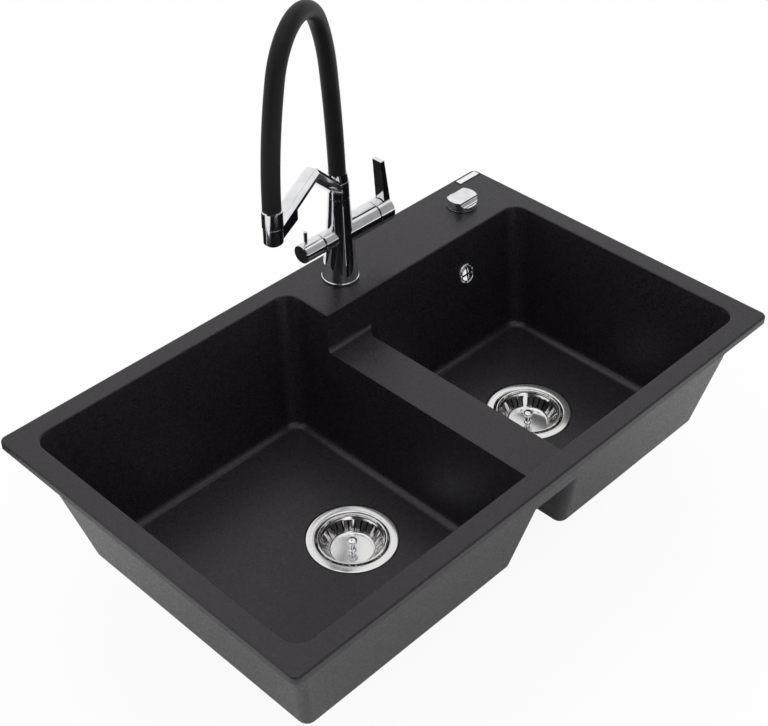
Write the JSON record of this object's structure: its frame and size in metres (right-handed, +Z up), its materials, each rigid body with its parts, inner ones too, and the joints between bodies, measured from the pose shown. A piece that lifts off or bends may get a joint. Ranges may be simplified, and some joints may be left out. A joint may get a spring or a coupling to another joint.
{
  "type": "double bowl kitchen sink",
  "caption": "Inset double bowl kitchen sink with strainer baskets, overflow, remote basket knob and a two-way mixer tap with a flexible arched hose.",
  "frame": {"origin": "middle of the rim's underside, on the worktop's top face", "axes": "+X to the user's right along the rim, +Y to the tap's side, +Z up"},
  "size_m": [0.8, 0.488, 0.6821],
  "materials": {
    "granite_composite": "fine matt speckle",
    "badge_metal": "satin",
    "satin_steel": "satin",
    "polished_chrome": "polished",
    "black_rubber": "matt",
    "hose_silicone": "satin",
    "black_plastic": "moulded",
    "grey_plastic": "moulded",
    "valve_plastic": "moulded",
    "raw_brass": "turned"
  },
  "bodies": {
    "fixed": {"badge_plate": "badge_metal", "drain_gaskets": "black_rubber", "filter_valve_core": "raw_brass", "large_drain_body": "black_plastic", "large_drain_screw": "satin_steel", "large_strainer_cup": "satin_steel", "mixer_cartridge": "valve_plastic", "mixer_cartridge_nut": "raw_brass", "overflow_elbow": "black_plastic", "overflow_gasket": "black_rubber", "overflow_pipe": "grey_plastic", "overflow_pipe_nuts": "black_plastic", "overflow_rosette": "polished_chrome", "popup_base": "polished_chrome", "popup_cable_housing": "black_plastic", "popup_gasket": "black_rubber", "popup_nut": "black_plastic", "sink_basin": "granite_composite", "small_cable_bracket": "black_plastic", "small_drain_body": "black_plastic", "small_drain_screw": "satin_steel", "small_rod_nut": "black_plastic", "small_rod_seat": "valve_plastic", "small_strainer_cup": "satin_steel", "spout_retaining_screw": "satin_steel", "strainer_gaskets": "black_rubber", "tap_base_ring": "polished_chrome", "tap_base_seal": "black_rubber", "tap_body": "polished_chrome", "tap_clamp_seal": "black_rubber", "tap_clamp_washer": "satin_steel", "tap_lock_nut": "raw_brass", "tap_shank": "raw_brass"},
    "spout": {"spout_arm": "polished_chrome", "spout_o_rings": "black_rubber", "spout_ferrule": "polished_chrome", "spout_hose": "hose_silicone", "spray_sleeve": "polished_chrome", "spray_nozzle": "black_plastic", "spray_aerator": "grey_plastic"},
    "mixer_turner": {"mixer_rotor": "raw_brass", "mixer_cap": "polished_chrome", "mixer_lever_pin": "satin_steel", "mixer_grub_screw": "satin_steel"},
    "mixer_handle": {"mixer_lever": "polished_chrome"},
    "filter_turner": {"filter_spindle": "raw_brass", "filter_handle": "polished_chrome", "filter_pin": "polished_chrome"},
    "popup_turner": {"popup_knob": "polished_chrome", "popup_spindle": "raw_brass", "popup_drum": "valve_plastic"},
    "lift_rod": {"small_lift_rod": "satin_steel"},
    "lift_pin": {"small_lift_pin": "satin_steel"},
    "small_strainer_basket": {"small_basket": "satin_steel", "small_basket_knob": "polished_chrome", "small_basket_seal": "black_rubber"},
    "large_strainer_basket": {"large_basket": "satin_steel", "large_basket_knob": "polished_chrome", "large_basket_seal": "black_rubber"}
  },
  "joints": [
    {"name": "spout_swivel", "type": "hinge", "parent": "fixed", "child": "spout", "pos_m": [0.087, 0.1935, 0.1314], "axis": [0, 0, 1], "continuous": true},
    {"name": "mixer_turn", "type": "hinge", "parent": "fixed", "child": "mixer_turner", "pos_m": [0.1462, 0.1935, 0.076], "axis": [1, 0, 0], "range_deg": [-45, 45]},
    {"name": "mixer_lift", "type": "hinge", "parent": "mixer_turner", "child": "mixer_handle", "pos_m": [0.1645, 0.1935, 0.076], "axis": [0, 1, 0], "range_deg": [0, 20]},
    {"name": "filter_turn", "type": "hinge", "parent": "fixed", "child": "filter_turner", "pos_m": [0.0534, 0.1935, 0.076], "axis": [1, 0, 0], "range_deg": [0, 90]},
    {"name": "popup_turn", "type": "hinge", "parent": "fixed", "child": "popup_turner", "pos_m": [0.319, 0.194, 0.0125], "axis": [0, 0, 1], "range_deg": [0, 90]},
    {"name": "lift_rod_tilt", "type": "hinge", "parent": "fixed", "child": "lift_rod", "pos_m": [0.256, -0.033, -0.20351], "axis": [0, 1, 0], "range_deg": [0, 11.42]},
    {"name": "lift_pin_rise", "type": "slide", "parent": "fixed", "child": "lift_pin", "axis": [0, 0, 1], "range_m": [0, 0.01]},
    {"name": "small_basket_lift_out", "type": "slide", "parent": "lift_pin", "child": "small_strainer_basket", "axis": [0, 0, 1], "range_m": [0, 0.06]},
    {"name": "large_basket_lift_out", "type": "slide", "parent": "fixed", "child": "large_strainer_basket", "axis": [0, 0, 1], "range_m": [0, 0.06]}
  ],
  "couplings": [
    {"joint": "lift_rod_tilt", "follows": "popup_turn", "ratio": 0.1269},
    {"joint": "lift_pin_rise", "follows": "popup_turn", "m_per_rad": 0.0063661}
  ]
}
